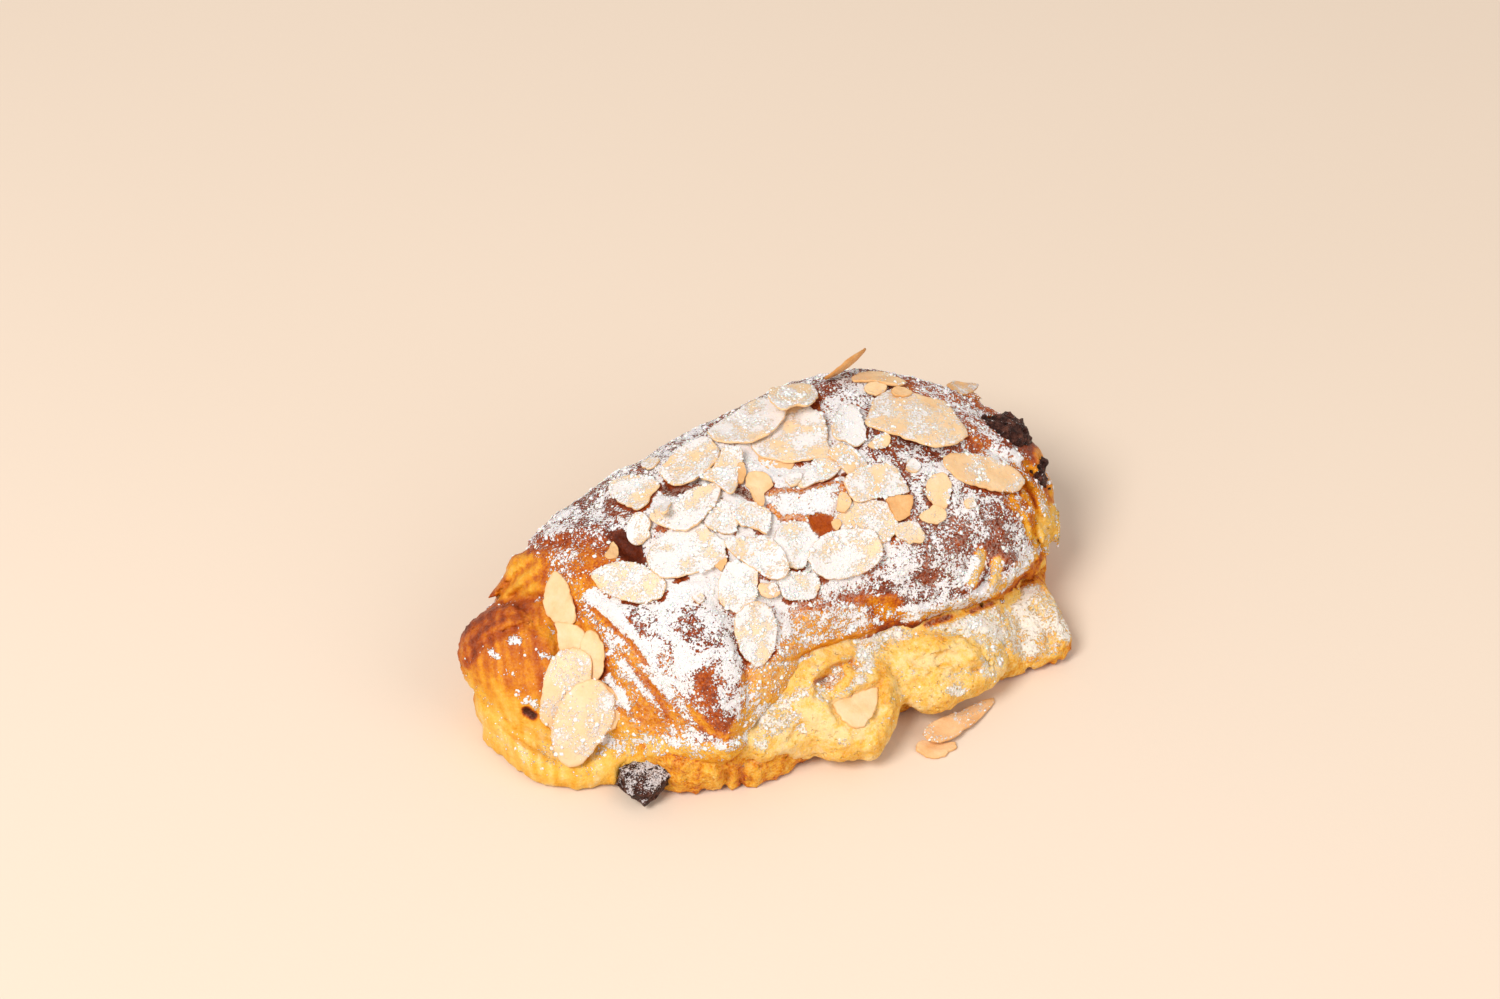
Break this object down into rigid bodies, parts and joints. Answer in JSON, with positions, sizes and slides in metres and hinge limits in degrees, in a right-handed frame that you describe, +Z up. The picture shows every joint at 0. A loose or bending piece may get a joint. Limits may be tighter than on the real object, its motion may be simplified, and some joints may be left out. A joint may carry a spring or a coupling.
{
  "type": "almond croissant",
  "caption": "Flattened croissant split and filled with almond cream that runs out along one side, with chocolate sticks through it and flaked almonds on top.",
  "frame": {"origin": "on the resting face, under the middle of the bounding box", "axes": "+X along the roll towards its open end, +Y away from the side where the almond cream runs out, +Z up"},
  "size_m": [0.143, 0.0918, 0.0521],
  "materials": {
    "crust": "browned flaky pastry, dusted with sugar",
    "base_crust": "golden baked pastry",
    "almond_cream": "soft baked almond cream",
    "chocolate": "baked dark chocolate, grainy",
    "almond": "sliced almond with a browned rim"
  },
  "bodies": {
    "root": {"pastry_top": "crust", "pastry_base": "base_crust", "almond_cream": "almond_cream", "chocolate_front": "chocolate", "chocolate_back": "chocolate", "flake_01": "almond", "flake_02": "almond", "flake_03": "almond", "flake_04": "almond", "flake_05": "almond", "flake_06": "almond", "flake_07": "almond", "flake_08": "almond", "flake_09": "almond", "flake_10": "almond", "flake_11": "almond", "flake_12": "almond", "flake_13": "almond", "flake_14": "almond", "flake_15": "almond", "flake_16": "almond", "flake_17": "almond", "flake_18": "almond", "flake_19": "almond", "flake_20": "almond", "flake_21": "almond", "flake_22": "almond", "flake_23": "almond", "flake_24": "almond", "flake_25": "almond", "flake_26": "almond", "flake_27": "almond", "flake_28": "almond", "flake_29": "almond", "flake_30": "almond", "flake_31": "almond", "flake_32": "almond", "flake_33": "almond", "flake_34": "almond", "flake_35": "almond", "flake_36": "almond", "flake_37": "almond", "flake_38": "almond"}
  },
  "joints": []
}
